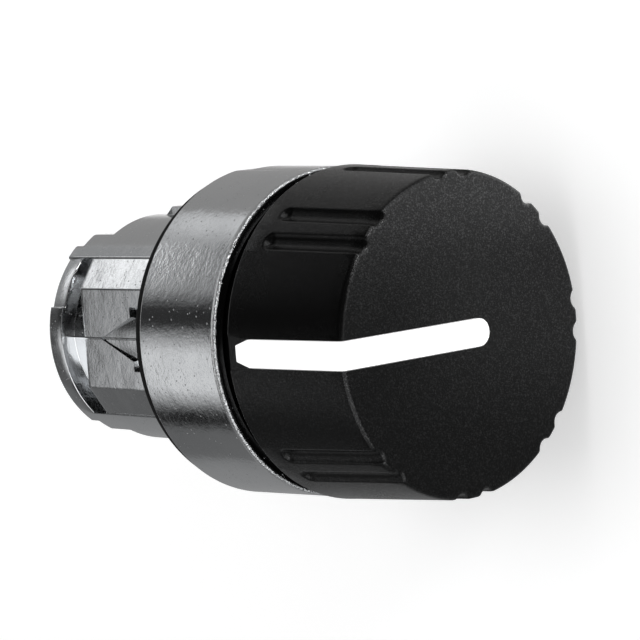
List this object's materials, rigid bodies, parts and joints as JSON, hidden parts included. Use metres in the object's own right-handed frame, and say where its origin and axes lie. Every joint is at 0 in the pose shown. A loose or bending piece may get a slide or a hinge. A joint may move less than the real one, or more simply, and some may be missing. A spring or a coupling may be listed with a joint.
{
  "type": "selector switch",
  "caption": "Round panel-mounted selector switch head: a ribbed black knob with a white light strip turns in a plated bezel and works spring-loaded pushers behind the panel.",
  "frame": {"origin": "on the turning axis, at the panel's front face, which the gasket's rear face meets", "axes": "+Y along the turning axis, back through the panel; +Z to 12 o'clock, where the marker strip points at rest; +X to the operator's right"},
  "size_m": [0.03, 0.0458, 0.03],
  "materials": {
    "bezel": "satin chrome plating",
    "neck_body": "satin chrome plating over a die casting",
    "panel_gasket": "matte black",
    "flange_seal": "matte black",
    "guide_plate": "moulded black",
    "plate_retaining_ring": "spring steel",
    "thrust_washer": "plain bronze",
    "detent_spring_upper": "spring steel",
    "detent_spring_lower": "spring steel",
    "pusher_spring_left": "drawn spring wire",
    "pusher_spring_right": "drawn spring wire",
    "knob": "fine-grained matte black",
    "lens_strip": "white diffusing plastic",
    "light_guide": "clear polished plastic",
    "rotor_shaft": "moulded grey",
    "shaft_seal": "matte black",
    "rotor_circlip": "spring steel",
    "cam_disc": "moulded grey",
    "knob_snap_ring": "spring steel",
    "pusher_left": "moulded grey",
    "pusher_right": "moulded grey"
  },
  "bodies": {
    "housing": {"bezel": "bezel", "neck_body": "neck_body", "panel_gasket": "panel_gasket", "flange_seal": "flange_seal", "guide_plate": "guide_plate", "plate_retaining_ring": "plate_retaining_ring", "thrust_washer": "thrust_washer", "detent_spring_upper": "detent_spring_upper", "detent_spring_lower": "detent_spring_lower", "pusher_spring_left": "pusher_spring_left", "pusher_spring_right": "pusher_spring_right"},
    "selector": {"knob": "knob", "lens_strip": "lens_strip", "light_guide": "light_guide", "rotor_shaft": "rotor_shaft", "shaft_seal": "shaft_seal", "rotor_circlip": "rotor_circlip", "cam_disc": "cam_disc", "knob_snap_ring": "knob_snap_ring"},
    "left_pusher": {"pusher_left": "pusher_left"},
    "right_pusher": {"pusher_right": "pusher_right"}
  },
  "joints": [
    {"name": "knob_turn", "type": "hinge", "parent": "housing", "child": "selector", "pos_m": [0, 0, 0], "axis": [0, 1, 0], "range_deg": [-45, 45], "deforming": ["detent_spring_upper", "detent_spring_lower"]},
    {"name": "left_pusher_slide", "type": "slide", "parent": "housing", "child": "left_pusher", "axis": [0, 1, 0], "range_m": [-0.00165, 0.00165], "deforming": ["pusher_spring_left"]},
    {"name": "right_pusher_slide", "type": "slide", "parent": "housing", "child": "right_pusher", "axis": [0, 1, 0], "range_m": [-0.00165, 0.00165], "deforming": ["pusher_spring_right"]}
  ],
  "couplings": [
    {"joint": "left_pusher_slide", "follows": "knob_turn", "m_per_rad": 0.0020372},
    {"joint": "right_pusher_slide", "follows": "knob_turn", "m_per_rad": -0.0020372}
  ]
}
